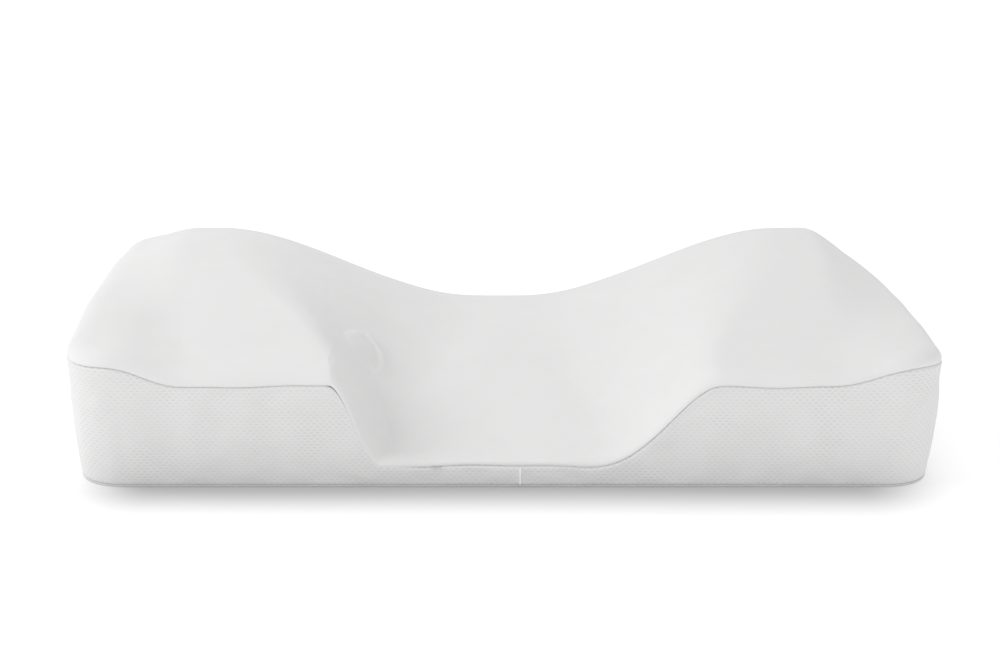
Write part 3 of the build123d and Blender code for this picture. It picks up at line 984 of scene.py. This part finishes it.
def make_label():
    """A blank satin loop held in the top seam, its folded end curling off the wall a little."""
    low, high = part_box("care_label")
    across = np.linspace(low[0], high[0], 15)
    # From the seam down the inner layer, round the fold and up the outer one: share of the height, and layer.
    down = np.concatenate([np.linspace(0, 0.94, 14), [0.97, 0.99, 1.0, 0.99, 0.97], np.linspace(0.94, 0, 14)])
    layer = np.concatenate([np.zeros(14), [0.06, 0.25, 0.5, 0.75, 0.94], np.ones(14)])
    points, flat = [], []
    run = 0.0
    for k, (t, side) in enumerate(zip(down, layer)):
        run += abs(t - down[k - 1]) if k else 0.0
        sunk = 0.0014 * (1 - t / 0.08) if t < 0.08 else 0.0  # the label's top end goes into the seam
        for x in across:
            s = place_on_outline(np.array([x]), rear=True)
            top = float(seam_height(x, HALF_Y)) - 0.0012
            z = mix(top, low[2], t)
            wall = wall_point(s, np.array([z]), 0.0)[0]
            curl = 0.0016 * t**2 + 0.0005 * math.sin((x - low[0]) * 160) * t
            points.append((wall[0], wall[1] + 0.0004 + 0.0009 * side + curl - sunk, z))
            flat.append((x, run * (top - low[2]), 0.0))
    label = make_piece("label_ribbon", points, grid_faces(len(down), len(across)), flat)
    thicken(label, LABEL_T, 0.0)
    show(label, ["care_label"], satin())


# ======== Stage ========

FLOOR_ALBEDO = 0.62
FLOOR_GLOW = 0.52
# A soft shadow painted into the floor, not cast by the lamps:
PAINTED_SHADE_WIDTH = 0.046  # how far the shadow painted on the floor round the pillow reaches
PAINTED_SHADE_DEPTH = 0.56  # share of the floor's light that the painted shadow takes away at most
PAINTED_SHADE_INSET = (0.055, 0.024)  # the painted shadow starts this far inside the outline, along X and Y
PAINTED_SHADE_AHEAD = 0.020  # and lies this much nearer to the camera than the pillow
SKY = 0.82
# Place, target, size and power of each soft box.
LIGHTS = {
    "key": ((-1.9, -0.1, 1.60), (0.0, 0.0, 0.05), (1.3, 1.3), 18.5),
    "fill": ((0.5, -2.2, 0.55), (0.0, -0.17, 0.03), (1.6, 0.8), 2.1),
}
CAMERA_AT = (-0.024, -HALF_Y - 1.4266, 0.5385)
CAMERA_DOWN = 16.64  # degrees
CAMERA_LENS, CAMERA_SHIFT = 78.3, 0.0300


def floor_material():
    """A white table lit from below, with a soft shadow painted into its colour and glow close round the
    pillow.
    """
    g = Graph("floor_white")
    _, x, y, _ = g.place()
    from_x = g.math("ABSOLUTE", x)
    from_y = g.math("ABSOLUTE", g.math("ADD", y, PAINTED_SHADE_AHEAD))
    beyond_x = g.math("MAXIMUM", g.math("SUBTRACT", from_x, HALF_X - PAINTED_SHADE_INSET[0]), 0.0)
    beyond_y = g.math("MAXIMUM", g.math("SUBTRACT", from_y, HALF_Y - PAINTED_SHADE_INSET[1]), 0.0)
    square = g.math("ADD", g.math("MULTIPLY", beyond_x, beyond_x), g.math("MULTIPLY", beyond_y, beyond_y))
    # Painted shadow: darkest close round the pillow, fading outwards; it dims both the colour and the glow.
    painted_shadow = g.math("EXPONENT", g.math("DIVIDE", square, -(PAINTED_SHADE_WIDTH**2)))
    light = g.math("MULTIPLY_ADD", painted_shadow, -PAINTED_SHADE_DEPTH, 1.0)
    g.set(Base_Color=g.blend(light, grey(0.0), grey(FLOOR_ALBEDO)), Roughness=0.9, Specular_IOR_Level=0.0)
    g.set(Emission_Color=(1.0, 1.0, 1.0, 1.0), Emission_Strength=g.math("MULTIPLY", light, FLOOR_GLOW))
    return g.material


def make_floor():
    bpy.ops.mesh.primitive_plane_add(size=40.0)
    floor = bpy.context.object
    floor.name = "floor"
    floor.data.materials.append(floor_material())


def make_light(name, place, target, size, power):
    data = bpy.data.lights.new(name, "AREA")
    data.shape = "RECTANGLE"
    data.size, data.size_y = size
    data.energy = power
    light = bpy.data.objects.new(name, data)
    bpy.context.collection.objects.link(light)
    light.location = place
    aim = Vector(target) - Vector(place)
    light.rotation_euler = aim.to_track_quat("-Z", "Y").to_euler()


def make_stage():
    """Floor, sky and lights."""
    make_floor()
    world = bpy.data.worlds.new("studio")
    world.use_nodes = True
    sky = world.node_tree.nodes["Background"]
    sky.inputs["Color"].default_value = (1.0, 1.0, 1.0, 1.0)
    sky.inputs["Strength"].default_value = SKY
    bpy.context.scene.world = world
    for name, (place, target, size, power) in LIGHTS.items():
        make_light(name, place, target, size, power)
    bpy.context.scene.view_settings.view_transform = "Standard"


def make_camera():
    """Looks down by about 17 degrees from 1.4 m in front of the lip, a little left of the middle."""
    data = bpy.data.cameras.new("camera")
    data.lens = CAMERA_LENS
    data.sensor_width = 36.0
    data.shift_x = CAMERA_SHIFT
    camera = bpy.data.objects.new("camera", data)
    bpy.context.collection.objects.link(camera)
    camera.location = CAMERA_AT
    camera.rotation_euler = (math.radians(90 - CAMERA_DOWN), 0.0, 0.0)
    bpy.context.scene.camera = camera


make_camera()
make_stage()
make_cover(top_knit(), gusset_mesh(), make_inside())
make_zip()
COTTON = thread()
make_stitching(COTTON)
make_front_details(COTTON)
make_label()
